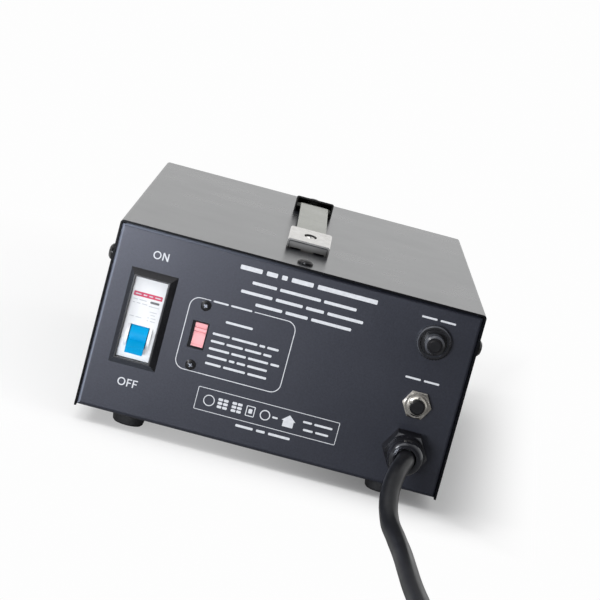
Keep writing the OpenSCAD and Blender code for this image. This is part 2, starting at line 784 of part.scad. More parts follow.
module ring_nut() color("#b7b9bb") translate([0, ring_y, ring_top + pad + dish_sheet]) difference() {
    hexagon(bolt_head, 6.5);
    translate([0, 0, -1]) cylinder(d = bolt + 2 * slip, h = 9);
}

// Cord: a tube swept along a smooth line through the route's points
gland_x = case_width / 2 - column_right;
gland_z = case_top - gland_drop;
cord_floor = cord / 2 + 0.1;

function place(p) = [gland_x + p[0], panel_y - p[1], max(gland_z + p[2], cord_floor)];
function bend(a, b, c, d, t) = 0.5 * (2 * b + (c - a) * t + (2 * a - 5 * b + 4 * c - d) * t * t
    + (3 * b - a - 3 * c + d) * t * t * t);
function line_at(p, i, t) = let (n = len(p) - 1)
    bend(p[max(i - 1, 0)], p[i], p[min(i + 1, n)], p[min(i + 2, n)], t);
function smooth(p) = concat(
    [for (i = [0 : len(p) - 2], k = [0 : cord_steps - 1]) line_at(p, i, k / cord_steps)],
    [p[len(p) - 1]]);
function unit(v) = v / norm(v);
function heading(p, i) = unit(p[min(i + 1, len(p) - 1)] - p[max(i - 1, 0)]);
function ring_at(p, i) = let (t = heading(p, i), s = unit(cross(t, [0, 0, 1])), u = cross(s, t))
    [for (k = [0 : cord_sides - 1]) let (a = 360 * (k + 0.5) / cord_sides)
        p[i] + cord / 2 * (cos(a) * s + sin(a) * u)];

module tube(route) {
    path = smooth([for (p = route) place(p)]);
    n = len(path);
    points = [for (i = [0 : n - 1]) each ring_at(path, i)];
    sides = [for (i = [0 : n - 2]) for (k = [0 : cord_sides - 1]) let (m = (k + 1) % cord_sides)
        each [[i * cord_sides + k, i * cord_sides + m, (i + 1) * cord_sides + m],
              [i * cord_sides + k, (i + 1) * cord_sides + m, (i + 1) * cord_sides + k]]];
    first = [for (k = [cord_sides - 1 : -1 : 0]) k];
    last = [for (k = [0 : cord_sides - 1]) (n - 1) * cord_sides + k];
    polyhedron(points, concat(sides, [first, last]));
}

coil_x = gland_x + coil_right;
coil_y = panel_y - coil_out;

module cord_tube() color("#151617") tube(cord_route);

module cord_coil() color("#151617") translate([coil_x, coil_y, coil_lift]) rotate_extrude($fn = 48)
    translate([coil_radius, 0]) {
        for (i = [0 : coil_turns - 1])
            translate([0, cord / 2 + i * cord]) circle(d = cord, $fn = 12);
        translate([-cord * 0.15, cord / 2]) square([cord * 0.3, (coil_turns - 1) * cord]);
    }

module cord_tie() color("#232427") translate([coil_x, coil_y - coil_radius, coil_lift]) difference() {
    box([-tie_width / 2, tie_width / 2], [-cord / 2 - tie_sheet - play, cord / 2 + tie_sheet + play],
        [-tie_sheet, coil_turns * cord + tie_sheet]);
    box([-tie_width, tie_width], [-cord / 2 - play, cord / 2 + play], [0, coil_turns * cord]);
}

module cord_tail() color("#151617") tube(tail_route);

plug_end = tail_route[len(tail_route) - 1];
plug_z = gland_z + plug_end[2];

module plug_body() color("#18191b") translate([gland_x + plug_end[0], panel_y - plug_end[1], plug_z])
    rotate([0, 90, 0]) rotate_extrude()
        polygon([[0, 0], [cord / 2 + 1, 0], [cord / 2 + 2.5, plug_taper * 0.7],
            [plug_radius * 0.72, plug_taper],
            [plug_radius - 2, plug_taper + 4], [plug_radius - 0.5, plug_taper + 10],
            [plug_radius - 0.5, plug_taper + plug_grip], [0, plug_taper + plug_grip]]);

module plug_pins() color("#c4c6c8") translate([gland_x + plug_end[0], panel_y - plug_end[1], plug_z])
    rotate([0, 90, 0]) for (s = [-1, 1])
        translate([0, s * pin_spacing / 2, plug_taper + plug_grip]) cylinder(r = pin_radius, h = pin_length);

chassis();
cover();
cover_screws();
rubber_feet();
foot_screws();
handle_cap_front();
handle_cap_rear();
handle_strap();
handle_screws();
handle_nuts();
breaker_bezel();
breaker_body();
breaker_toggle();
breaker_bracket();
selector_body();
selector_slider();
selector_screws();
upper_cutout_body();
upper_cutout_nut();
upper_cutout_button();
lower_cutout_body();
lower_cutout_nut();
lower_cutout_button();
gland_body();
gland_dome_nut();
gland_lock_nut();
gland_seal();
output_socket_left();
output_socket_middle();
output_socket_right();
ring_core();
ring_winding();
ring_lower_pad();
ring_upper_pad();
ring_dish();
ring_bolt();
ring_nut();
cord_tube();
cord_coil();
cord_tie();
cord_tail();
plug_body();
plug_pins();
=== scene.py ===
import math
import bpy
from mathutils import Matrix, Vector


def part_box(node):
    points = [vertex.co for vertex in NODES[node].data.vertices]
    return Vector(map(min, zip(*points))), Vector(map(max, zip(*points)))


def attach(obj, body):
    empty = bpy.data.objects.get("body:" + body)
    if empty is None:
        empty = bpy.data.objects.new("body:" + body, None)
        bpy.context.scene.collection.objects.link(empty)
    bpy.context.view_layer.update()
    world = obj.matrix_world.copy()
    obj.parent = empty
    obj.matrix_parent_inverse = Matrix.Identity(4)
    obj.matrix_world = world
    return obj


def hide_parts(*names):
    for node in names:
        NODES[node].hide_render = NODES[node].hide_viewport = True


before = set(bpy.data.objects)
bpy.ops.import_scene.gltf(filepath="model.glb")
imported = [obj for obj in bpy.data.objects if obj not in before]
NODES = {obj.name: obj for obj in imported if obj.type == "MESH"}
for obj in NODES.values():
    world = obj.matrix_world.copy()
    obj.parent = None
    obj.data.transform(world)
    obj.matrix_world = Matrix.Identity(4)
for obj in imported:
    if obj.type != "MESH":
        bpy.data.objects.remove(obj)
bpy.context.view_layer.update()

MM = 0.001
X, Y, Z = Vector((1, 0, 0)), Vector((0, 1, 0)), Vector((0, 0, 1))

# Planes of the case, from which the print, the screws and the finishes are set out
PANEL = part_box("chassis")[0].y
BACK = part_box("chassis")[1].y
MIDDLE = (PANEL + BACK) / 2
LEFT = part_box("cover")[0].x
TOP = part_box("cover")[1].z

# The flap at the outer end of each handle cap with its band of painted shade under the upper plate, and where
# the strap goes in under the caps, past which its ends get painted shade
FLAP_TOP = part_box("handle_cap_front")[0].z + 5.17 * MM
FLAP_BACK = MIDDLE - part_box("handle_cap_front")[0].y - 0.5 * MM
FLAP_HALF = 10.8 * MM
CREASE_SHADE = 1.2 * MM
STRAP_SEEN = 97 * MM


def link(thing):
    bpy.context.collection.objects.link(thing)
    return thing


# Camera, fitted to the panel's corners and fittings
CAMERA_PLACE = Vector((-0.0228, -1.4841, 0.2986))
YAW, PITCH, ROLL = math.radians(1.079), math.radians(8.5915), math.radians(15.05)
FOCAL_PIXELS = 2415.4
PICTURE_PIXELS = 600
SENSOR = 36
SIGHT = 50


def aim_camera():
    ahead = Vector((math.sin(YAW) * math.cos(PITCH), math.cos(YAW) * math.cos(PITCH), -math.sin(PITCH)))
    across = Vector((math.cos(YAW), -math.sin(YAW), 0))
    down = ahead.cross(across)
    right = math.cos(ROLL) * across - math.sin(ROLL) * down
    below = math.sin(ROLL) * across + math.cos(ROLL) * down
    camera = link(bpy.data.objects.new("camera", bpy.data.cameras.new("camera")))
    camera.data.sensor_width = SENSOR
    camera.data.lens = FOCAL_PIXELS / PICTURE_PIXELS * SENSOR
    camera.data.clip_end = SIGHT
    turned = Matrix((right, -below, -ahead)).transposed().to_4x4()
    camera.matrix_world = Matrix.Translation(CAMERA_PLACE) @ turned
    bpy.context.scene.camera = camera


aim_camera()
bpy.context.scene.view_settings.view_transform = "Standard"

# Shader nodes
NOISE_RANGE = 0.3, 0.7
GLOSS_SCALE = 30
RELIEF_DEPTH = 0.2 * MM
# inputs A and B and the output of a Mix node, for numbers and for colours
NUMBER_MIX = 2, 3, 0
COLOUR_MIX = 6, 7, 2


def new_material(name):
    m = bpy.data.materials.new(name)
    m.use_nodes = True
    return m, m.node_tree, m.node_tree.nodes["Principled BSDF"]


def add(tree, kind, **values):
    n = tree.nodes.new(kind)
    for key, value in values.items():
        setattr(n, key, value)
    return n


def feed(tree, value, socket):
    """Set a socket to a number, or link it to the output of another node."""
    if isinstance(value, (int, float)):
        socket.default_value = value
    else:
        tree.links.new(value, socket)


def calc(tree, operation, a, b=0, clamp=False):
    n = add(tree, "ShaderNodeMath", operation=operation, use_clamp=clamp)
    feed(tree, a, n.inputs[0])
    feed(tree, b, n.inputs[1])
    return n.outputs[0]


def steep(tree, value, gain, offset=0):
    """From 0 to 1 as gain times the value rises past the offset."""
    if not offset:
        return calc(tree, "MULTIPLY", value, gain, True)
    return calc(tree, "SUBTRACT", calc(tree, "MULTIPLY", value, gain), offset, True)


def span(tree, value, start, stop, low=0.0, high=1.0, kind="SMOOTHSTEP"):
    """From low to high as the value goes from start to stop."""
    n = add(tree, "ShaderNodeMapRange", interpolation_type=kind)
    for socket, number in zip(("From Min", "From Max", "To Min", "To Max"), (start, stop, low, high)):
        n.inputs[socket].default_value = number
    tree.links.new(value, n.inputs["Value"])
    return n.outputs["Result"]


def blend(tree, factor, a, b):
    n = add(tree, "ShaderNodeMix")
    first, second, result = NUMBER_MIX
    tree.links.new(factor, n.inputs[0])
    feed(tree, a, n.inputs[first])
    feed(tree, b, n.inputs[second])
    return n.outputs[result]


def noise(tree, where, scale, detail, stretch=None):
    n = add(tree, "ShaderNodeTexNoise")
    n.inputs["Scale"].default_value = scale
    n.inputs["Detail"].default_value = detail
    if stretch:
        mapping = add(tree, "ShaderNodeMapping")
        mapping.inputs["Scale"].default_value = stretch
        tree.links.new(where, mapping.inputs["Vector"])
        where = mapping.outputs["Vector"]
    tree.links.new(where, n.inputs["Vector"])
    return n.outputs["Fac"]


def colours(tree, value, dark, light, places=(0, 1)):
    ramp = add(tree, "ShaderNodeValToRGB")
    for end, position, colour in zip(ramp.color_ramp.elements, places, (dark, light)):
        end.position = position
        end.color = (*colour, 1)
    tree.links.new(value, ramp.inputs["Fac"])
    return ramp.outputs["Color"]


def relief(tree, shader, height, strength, depth):
    n = add(tree, "ShaderNodeBump")
    n.inputs["Strength"].default_value = strength
    n.inputs["Distance"].default_value = depth
    tree.links.new(height, n.inputs["Height"])
    tree.links.new(n.outputs["Normal"], shader.inputs["Normal"])


def parts_of(tree, vector):
    split = add(tree, "ShaderNodeSeparateXYZ")
    tree.links.new(vector, split.inputs["Vector"])
    return split.outputs


def object_place(tree):
    return parts_of(tree, add(tree, "ShaderNodeTexCoord").outputs["Object"])


def face_normal(tree):
    return parts_of(tree, add(tree, "ShaderNodeNewGeometry").outputs["True Normal"])


def surface(name, dark, light, rough, grain, bump, bump_scale, stretch=None, **sockets):
    """Finish with a mottled colour, an uneven gloss and a fine relief, all from noise in object space."""
    m, tree, shader = new_material(name)
    where = add(tree, "ShaderNodeTexCoord").outputs["Object"]
    mottle = colours(tree, noise(tree, where, grain, 4, stretch), dark, light, NOISE_RANGE)
    tree.links.new(mottle, shader.inputs["Base Color"])
    gloss = span(tree, noise(tree, where, GLOSS_SCALE, 3, stretch), *NOISE_RANGE, *rough, kind="LINEAR")
    tree.links.new(gloss, shader.inputs["Roughness"])
    relief(tree, shader, noise(tree, where, bump_scale, 2, stretch), bump, RELIEF_DEPTH)
    for key, value in sockets.items():
        shader.inputs[key.replace("_", " ")].default_value = value
    return m


def black_plastic(name, rough, **sockets):
    return surface(name, (0.005, 0.005, 0.0065), (0.009, 0.009, 0.011), rough,
                   grain=800, bump=0.05, bump_scale=2200, **sockets)


def change_where(finish, where, **ends):
    """Carry sockets of a finish over to other values on the faces that a factor picks out."""
    tree = finish.node_tree
    shader = tree.nodes["Principled BSDF"]
    factor = where(tree)
    for key, end in ends.items():
        socket = shader.inputs[key.replace("_", " ")]
        colour = isinstance(end, tuple)
        mix = add(tree, "ShaderNodeMix", data_type="RGBA" if colour else "FLOAT")
        first, second, result = COLOUR_MIX if colour else NUMBER_MIX
        tree.links.new(factor, mix.inputs[0])
        if socket.links:
            tree.links.new(socket.links[0].from_socket, mix.inputs[first])
        else:
            mix.inputs[first].default_value = socket.default_value
        mix.inputs[second].default_value = (*end, 1) if colour else end
        tree.links.new(mix.outputs[result], socket)


# Factors that pick out faces, from the way they look and where they are
def cut_edge_shade(tree):
    """Painted shade: the sheet's cut ends, which look forwards or backwards, are made near black."""
    return calc(tree, "MULTIPLY", calc(tree, "ABSOLUTE", face_normal(tree)["Y"]), 4)


def cap_inside_shade(tree):
    """Painted shade: faces of the caps that look towards the strap, inwards or down, are made near black and
    dull.
    """
    normal = face_normal(tree)
    place = object_place(tree)
    ahead = calc(tree, "MULTIPLY", calc(tree, "SUBTRACT", MIDDLE, place["Y"]), normal["Y"])
    across = calc(tree, "MULTIPLY", place["X"], normal["X"])
    dark = calc(tree, "MAXIMUM", steep(tree, ahead, 40), steep(tree, across, -400))
    return calc(tree, "MAXIMUM", dark, steep(tree, normal["Z"], -4))


def cap_front(tree):
    """Painted shade: the outer end faces of the caps, which are given a darker colour."""
    return steep(tree, calc(tree, "ABSOLUTE", face_normal(tree)["Y"]), 2, 0.9)


def flap_crease_shade(tree):
    """Painted shade in the crease: the flap just under the cap's upper plate and along the cap's sides is
    darkened.
    """
    place = object_place(tree)
    under = calc(tree, "SUBTRACT", place["Z"], FLAP_TOP - CREASE_SHADE)
    beside = calc(tree, "SUBTRACT", calc(tree, "ABSOLUTE", place["X"]), FLAP_HALF)
    edge = steep(tree, calc(tree, "MAXIMUM", under, beside), 1400)
    away = calc(tree, "ABSOLUTE", calc(tree, "SUBTRACT", place["Y"], MIDDLE))
    back = steep(tree, calc(tree, "SUBTRACT", FLAP_BACK, away), 4000)
    return calc(tree, "MULTIPLY", calc(tree, "MULTIPLY", edge, cap_front(tree)), back)


def strap_end_shade(tree):
    """Painted shade: the strap's ends, in the dark under the caps, are made near black."""
    away = calc(tree, "ABSOLUTE", calc(tree, "SUBTRACT", object_place(tree)["Y"], MIDDLE))
    return steep(tree, calc(tree, "SUBTRACT", away, STRAP_SEEN), 500)


def upright(tree):
    """Faces that stand square to the panel."""
    flat = calc(tree, "MULTIPLY", calc(tree, "ABSOLUTE", face_normal(tree)["Y"]), 6)
    return calc(tree, "SUBTRACT", 1, flat, True)


def panel_fold_highlight(tree):
    """Painted highlight: the left fold of the control panel and the left of its upper fold get a lighter
    colour where they catch the light.
    """
    normal = face_normal(tree)
    ahead = steep(tree, normal["Y"], -3, 0.3)
    left = steep(tree, normal["X"], -3, 0.2)
    near = calc(tree, "SUBTRACT", 0.1, calc(tree, "MULTIPLY", object_place(tree)["X"], 8), True)
    up = calc(tree, "MULTIPLY", steep(tree, normal["Z"], 3, 0.2), near)
    return calc(tree, "MULTIPLY", ahead, calc(tree, "MAXIMUM", left, up))


def ring_lit(tree):
    """Painted highlight: the left and upper slopes of the black ring nut and its neck, given a lighter
    colour.
    """
    normal = face_normal(tree)
    return calc(tree, "MAXIMUM", steep(tree, normal["X"], -1.2), steep(tree, normal["Z"], 1.2))


def face_low_light(tree):
    """Painted light: the breaker's face beside and under the toggle, lighter further down."""
    low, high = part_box("breaker_toggle")
    below = calc(tree, "SUBTRACT", high.z, object_place(tree)["Z"])
    return calc(tree, "DIVIDE", below, high.z - low.z, True)


def bezel_lit(tree):
    """Painted highlight: the left and lower slopes of the breaker's frame, given a lighter colour."""
    normal = face_normal(tree)
    return calc(tree, "MAXIMUM", steep(tree, normal["X"], -0.6), steep(tree, normal["Z"], -1.2))


# Painted sheet
paint = surface("case_paint", (0.0075, 0.0084, 0.0125), (0.0125, 0.0138, 0.02), (0.31, 0.36),
                grain=900, bump=0.16, bump_scale=900,
                Specular_IOR_Level=0.45, Specular_Tint=(0.87, 0.89, 1.0, 1))
# painted highlight: a lighter colour on the panel's folds
change_where(paint, panel_fold_highlight, Base_Color=(0.2, 0.22, 0.27))
cover_paint = surface("cover_paint", (0.0092, 0.0102, 0.0136), (0.0108, 0.012, 0.0156), (0.27, 0.29),
                      grain=120, bump=0.015, bump_scale=500,
                      Specular_IOR_Level=0.55, Specular_Tint=(0.96, 1.0, 1.0, 1),
                      Coat_Weight=0.1, Coat_Roughness=0.25)
# painted shade: the cover's cut ends are near black and barely glossy
change_where(cover_paint, cut_edge_shade,
             Base_Color=(0.004, 0.004, 0.005), Specular_IOR_Level=0.05, Coat_Weight=0.0)

# Metal
black_screw = surface("black_screws", (0.005, 0.005, 0.006), (0.01, 0.01, 0.011), (0.2, 0.3),
                      grain=900, bump=0.1, bump_scale=2500, Specular_IOR_Level=0.3)
# painted shade: near black crosses in the recesses of the cover, handle and foot screws
recess_shade = surface("recess_shade", (0.004, 0.004, 0.005), (0.01, 0.01, 0.011), (0.25, 0.4),
                       grain=900, bump=0.2, bump_scale=2500)
zinc = surface("zinc_steel", (0.5, 0.5, 0.49), (0.66, 0.67, 0.66), (0.24, 0.4),
               grain=260, bump=0.08, bump_scale=1200, Metallic=1.0)
nickel = surface("bright_nickel", (0.6, 0.59, 0.57), (0.72, 0.71, 0.69), (0.2, 0.32),
                 grain=160, bump=0.1, bump_scale=900, stretch=(1, 6, 1), Metallic=1.0)
cap_nickel = surface("cap_nickel", (0.6, 0.59, 0.57), (0.72, 0.71, 0.69), (0.22, 0.34),
                     grain=300, bump=0.1, bump_scale=900, Metallic=1.0)
# painted shade: the caps' end faces are darker and duller than their tops
change_where(cap_nickel, cap_front, Base_Color=(0.26, 0.255, 0.245), Roughness=0.5)
# painted shade: a dark band in the crease under each cap's upper plate
change_where(cap_nickel, flap_crease_shade, Base_Color=(0.03, 0.03, 0.03))
# painted shade: the insides of the caps are near black and dull
change_where(cap_nickel, cap_inside_shade, Base_Color=(0.012, 0.012, 0.012), Metallic=0.0, Roughness=0.7)
nut_nickel = surface("nut_nickel", (0.38, 0.36, 0.33), (0.52, 0.5, 0.46), (0.16, 0.26),
                     grain=220, bump=0.1, bump_scale=900, Metallic=1.0)
change_where(nut_nickel, upright, Metallic=0.0, Roughness=0.45)
# painted glint: light metal crosses in the selector screws' recesses
painted_glint_metal = surface("painted_glint_metal", (0.15, 0.16, 0.18), (0.2, 0.21, 0.235), (0.3, 0.4),
                      grain=220, bump=0.1, bump_scale=900, Metallic=1.0)
core = surface("core_steel", (0.22, 0.23, 0.24), (0.34, 0.35, 0.36), (0.35, 0.5),
               grain=220, bump=0.2, bump_scale=700, Metallic=1.0)

# Plastic, rubber and vinyl
rubber = surface("black_rubber", (0.011, 0.011, 0.012), (0.02, 0.02, 0.021), (0.55, 0.7),
                 grain=500, bump=0.2, bump_scale=1800)
cord_skin = surface("cord_rubber", (0.004, 0.0043, 0.0055), (0.0075, 0.008, 0.01), (0.3, 0.4),
                    grain=350, bump=0.12, bump_scale=1500, Specular_IOR_Level=0.22)
vinyl = surface("strap_vinyl", (0.21, 0.216, 0.19), (0.27, 0.276, 0.245), (0.3, 0.42),
                grain=600, bump=0.2, bump_scale=900, Specular_IOR_Level=0.5)
# painted shade: the strap's ends under the caps are near black
change_where(vinyl, strap_end_shade, Base_Color=(0.006, 0.006, 0.006), Specular_IOR_Level=0.05)
white = surface("white_plastic", (0.6, 0.605, 0.61), (0.66, 0.665, 0.67), (0.26, 0.34),
                grain=60, bump=0.05, bump_scale=900, Specular_IOR_Level=0.25)
# painted light: the breaker's face is lighter beside and under the toggle
change_where(white, face_low_light, Base_Color=(0.82, 0.825, 0.83))
blue = surface("blue_plastic", (0.0, 0.25, 0.5), (0.0, 0.28, 0.56), (0.3, 0.4),
               grain=90, bump=0.05, bump_scale=900, Specular_IOR_Level=0.08)
red = surface("red_plastic", (0.74, 0.29, 0.31), (0.82, 0.36, 0.37), (0.3, 0.42),
              grain=90, bump=0.05, bump_scale=900)
plastic = black_plastic("black_plastic", (0.18, 0.26),
                        Specular_IOR_Level=0.4, Specular_Tint=(0.85, 0.9, 1.0, 1))
ring_plastic = black_plastic("ring_plastic", (0.2, 0.28), Specular_IOR_Level=0.45)
# painted highlight on the ring nut's left and upper slopes
change_where(ring_plastic, ring_lit, Base_Color=(0.05, 0.054, 0.064))
gland_plastic = black_plastic("gland_plastic", (0.12, 0.17),
                              Specular_IOR_Level=0.55, Specular_Tint=(0.9, 0.94, 1.0, 1))
change_where(gland_plastic, upright, Specular_IOR_Level=0.08, Roughness=0.5)
bezel_plastic = black_plastic("bezel_plastic", (0.2, 0.28), Specular_IOR_Level=0.45)
# painted highlight on the breaker frame's left and lower slopes
change_where(bezel_plastic, bezel_lit, Base_Color=(0.035, 0.038, 0.046))
dull_black = surface("dull_black", (0.003, 0.003, 0.004), (0.006, 0.006, 0.007), (0.4, 0.5),
                     grain=700, bump=0.1, bump_scale=2000, Specular_IOR_Level=0.15)

# Inks
ink = surface("panel_ink", (0.43, 0.44, 0.46), (0.52, 0.53, 0.55), (0.4, 0.5),
              grain=500, bump=0.1, bump_scale=1300)
red_ink = surface("red_ink", (0.45, 0.055, 0.105), (0.49, 0.065, 0.12), (0.35, 0.45),
                  grain=400, bump=0.05, bump_scale=1300, Specular_IOR_Level=0.1)
grey_ink = surface("grey_ink", (0.34, 0.35, 0.37), (0.45, 0.46, 0.48), (0.35, 0.45),
                   grain=400, bump=0.05, bump_scale=1300)
dark_ink = surface("dark_ink", (0.06, 0.06, 0.065), (0.1, 0.1, 0.11), (0.35, 0.45),
                   grain=400, bump=0.05, bump_scale=1300)


def wound_copper():
    """Enamelled wire laid side by side round the ring."""
    m, tree, shader = new_material("copper_winding")
    where = add(tree, "ShaderNodeTexCoord").outputs["Object"]
    wave = add(tree, "ShaderNodeTexWave", wave_type="RINGS", rings_direction="Z")
    wave.inputs["Scale"].default_value = 160
    wave.inputs["Distortion"].default_value = 1.5
    tree.links.new(where, wave.inputs["Vector"])
    wires = wave.outputs["Fac"]
    tree.links.new(colours(tree, wires, (0.2, 0.06, 0.02), (0.55, 0.2, 0.07)), shader.inputs["Base Color"])
    relief(tree, shader, wires, strength=0.4, depth=0.5 * MM)
    shader.inputs["Roughness"].default_value = 0.35
    shader.inputs["Metallic"].default_value = 0.6
    return m


FINISH = {
    paint: ["chassis"],
    cover_paint: ["cover"],
    black_screw: ["cover_screws", "selector_screws"],
    rubber: ["rubber_feet", "gland_seal", "ring_lower_pad", "ring_upper_pad", "plug_body"],
    zinc: ["foot_screws", "handle_nuts", "breaker_bracket", "ring_dish", "ring_bolt", "ring_nut",
           "plug_pins"],
    nickel: ["handle_screws"],
    cap_nickel: ["handle_cap_front", "handle_cap_rear"],
    nut_nickel: ["lower_cutout_nut", "lower_cutout_body"],
    vinyl: ["handle_strap"],
    white: ["breaker_body"],
    blue: ["breaker_toggle"],
    red: ["selector_slider"],
    bezel_plastic: ["breaker_bezel"],
    gland_plastic: ["gland_body", "gland_dome_nut", "gland_lock_nut"],
    ring_plastic: ["upper_cutout_body", "upper_cutout_nut"],
    plastic: ["output_socket_left", "output_socket_middle", "output_socket_right", "cord_tie"],
    dull_black: ["selector_body", "upper_cutout_button", "lower_cutout_button"],
    core: ["ring_core"],
    wound_copper(): ["ring_winding"],
    cord_skin: ["cord_tube", "cord_coil", "cord_tail"],
}
for finish, names in FINISH.items():
    for name in names:
        mesh = NODES[name].data
        mesh.materials.clear()
        mesh.materials.append(finish)

# Cord: the route of the source's cord, then the turns of the coil and the tail to the plug.
# Places are millimetres to the right of the gland, out from the panel and up from the gland.
CORD = 10.4 * MM
CORD_FLOOR = CORD / 2 + 0.1 * MM
ROUTE = [(0, 14, 0), (0, 20, 0), (0, 28, 0), (-4, 46, -4.5), (-6, 64, -13.5), (-4, 82, -22), (0, 102, -25.6),
         (3, 130, -26.2), (5, 160, -26.3), (7, 190, -26.3), (10, 220, -26.3), (14, 256, -26.3),
         (17, 296, -26.3), (19, 335, -25.8)]
COIL_START = 20, 375, -25.1
COIL_RADIUS = 56 * MM
COIL_TURNS = 3
TURN_POINTS = 16
# each turn lies flat, and climbs on to the next between these angles
CLIMB_START, CLIMB_END = 240, 350
TAIL = [(23.8, 394.1, 8), (34.6, 410.4, 12.3), (50.9, 421.2, 16.5), (70, 425, 18.5), (78, 425, 18.5)]


def beside_gland(place):
    low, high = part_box("gland_body")
    gland = (low + high) / 2
    right, out, up = place
    return Vector((gland.x + right * MM, PANEL - out * MM, max(gland.z + up * MM, CORD_FLOOR)))


def coil():
    start = beside_gland(COIL_START)
    for i in range(COIL_TURNS * TURN_POINTS + 1):
        turned = i % TURN_POINTS * 360 / TURN_POINTS
        angle = math.pi + 2 * math.pi * i / TURN_POINTS
        climb = min(max((turned - CLIMB_START) / (CLIMB_END - CLIMB_START), 0), 1)
        layer = i // TURN_POINTS + climb * climb * (3 - 2 * climb)
        right, out = COIL_RADIUS * (1 + math.cos(angle)), COIL_RADIUS * math.sin(angle)
        yield start + Vector((right, out, CORD * layer))


def make_cord():
    line = [beside_gland(p) for p in ROUTE] + list(coil()) + [beside_gland(p) for p in TAIL]
    curve = bpy.data.curves.new("mains_cord", "CURVE")
    curve.dimensions = "3D"
    curve.bevel_depth = CORD / 2
    curve.bevel_resolution = 5
    curve.resolution_u = 8
    curve.use_fill_caps = True
    spline = curve.splines.new("BEZIER")
    spline.bezier_points.add(len(line) - 1)
    for point, place in zip(spline.bezier_points, line):
        point.co = place
        point.handle_left_type = point.handle_right_type = "AUTO"
    curve.materials.append(cord_skin)
    return link(bpy.data.objects.new("mains_cord", curve))


cord = make_cord()
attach(cord, "case")
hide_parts("cord_tube", "cord_coil", "cord_tail")


def piece(name, points, faces, finish):
    mesh = bpy.data.meshes.new(name)
    mesh.from_pydata([tuple(p) for p in points], [], faces)
    mesh.validate()
    mesh.update()
    mesh.materials.append(finish)
    o = link(bpy.data.objects.new(name, mesh))
    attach(o, "case")


# Print: plain bars, outlines and shapes. Places are millimetres from the left wall and the top of the case.
BAR_ROUND = 0.35
WORD_GAP = 0.8
SHARPEST = 0.3


def on_panel(left, drop, out):
    return Vector((LEFT + left * MM, PANEL - out * MM, TOP - drop * MM))


class Print:
    def __init__(self, out):
        self.points, self.faces, self.out = [], [], out

    def polygon(self, places):
        n = len(self.points)
        self.points += [on_panel(x, y, self.out) for x, y in places]
        self.faces.append(list(range(n + len(places) - 1, n - 1, -1)))

    def bar(self, x0, x1, y, height):
        r = min(height / 2, BAR_ROUND)
        y0, y1 = y - height / 2, y + height / 2
        self.polygon([(x0 + r, y0), (x1 - r, y0), (x1, y0 + r), (x1, y1 - r), (x1 - r, y1), (x0 + r, y1),
                      (x0, y1 - r), (x0, y0 + r)])

    def stroke(self, places, width, closed=False):
        """A line of even width through the places, with mitred corners."""
        n = len(places)
        sides = []
        for i, (x, y) in enumerate(places):
            a = places[(i - 1) % n] if closed or i else places[i]
            b = places[(i + 1) % n] if closed or i < n - 1 else places[i]
            before = Vector((x - a[0], y - a[1])).normalized() if a != (x, y) else None
            after = Vector((b[0] - x, b[1] - y)).normalized() if b != (x, y) else None
            along = ((before or after) + (after or before)).normalized()
            grow = 1 / max(along.dot(before or after), SHARPEST)
            side = Vector((-along.y, along.x)) * (width / 2 * grow)
            sides.append(((x + side.x, y + side.y), (x - side.x, y - side.y)))
        for i in range(n if closed else n - 1):
            (a, b), (c, d) = sides[i], sides[(i + 1) % n]
            self.polygon([a, c, d, b])

    def words(self, x0, x1, y, height, counts):
        """One bar for each word of a line, as long as its share of the line."""
        step = (x1 - x0) / (sum(counts) + WORD_GAP * (len(counts) - 1))
        x = x0
        for count in counts:
            self.bar(x, x + count * step, y, height)
            x += (count + WORD_GAP) * step

    def lines(self, rows):
        for row in rows:
            self.words(*row)

    def make(self, name, finish, slot):
        piece(name, self.points, self.faces, finish)


def arc(x, y, r, a0, a1, steps=8):
    angles = [math.radians(a0 + (a1 - a0) * i / steps) for i in range(steps + 1)]
    return [(x + r * math.cos(a), y + r * math.sin(a)) for a in angles]


def ring(x, y, r, steps=16):
    return arc(x, y, r, 0, 360 - 360 / steps, steps - 1)


def rounded(x0, y0, x1, y1, r):
    return (arc(x1 - r, y0 + r, r, -90, 0) + arc(x1 - r, y1 - r, r, 0, 90) + arc(x0 + r, y1 - r, r, 90, 180)
            + arc(x0 + r, y0 + r, r, 180, 270))


# Letters of ON above the breaker and OFF below it
LETTER = 4.5
STEM = 0.7
ARM = 0.65
ON_DROP, OFF_DROP = 14.5, 88.5


def letter_o(sheet, x, y):
    half, height, corner, width = 1.9, 1.95, 1.85, 0.66
    sheet.stroke(rounded(x - half, y - height, x + half, y + height, corner), width, True)


def letter_n(sheet, x, y):
    width, notch = 3.5, 0.9
    top, bottom, end = y - LETTER / 2, y + LETTER / 2, x + width
    sheet.polygon([(x, bottom), (x, top), (x + STEM, top), (end - STEM, y + notch), (end - STEM, top),
                   (end, top), (end, bottom), (end - STEM, bottom), (x + STEM, y - notch),
                   (x + STEM, bottom)])


def letter_f(sheet, x, y):
    upper, lower, drop = 2.7, 2.4, 0.3
    top, bottom, middle = y - LETTER / 2, y + LETTER / 2, y - drop
    sheet.polygon([(x, bottom), (x, top), (x + upper, top), (x + upper, top + ARM), (x + STEM, top + ARM),
                   (x + STEM, middle), (x + lower, middle), (x + lower, middle + ARM),
                   (x + STEM, middle + ARM), (x + STEM, bottom)])


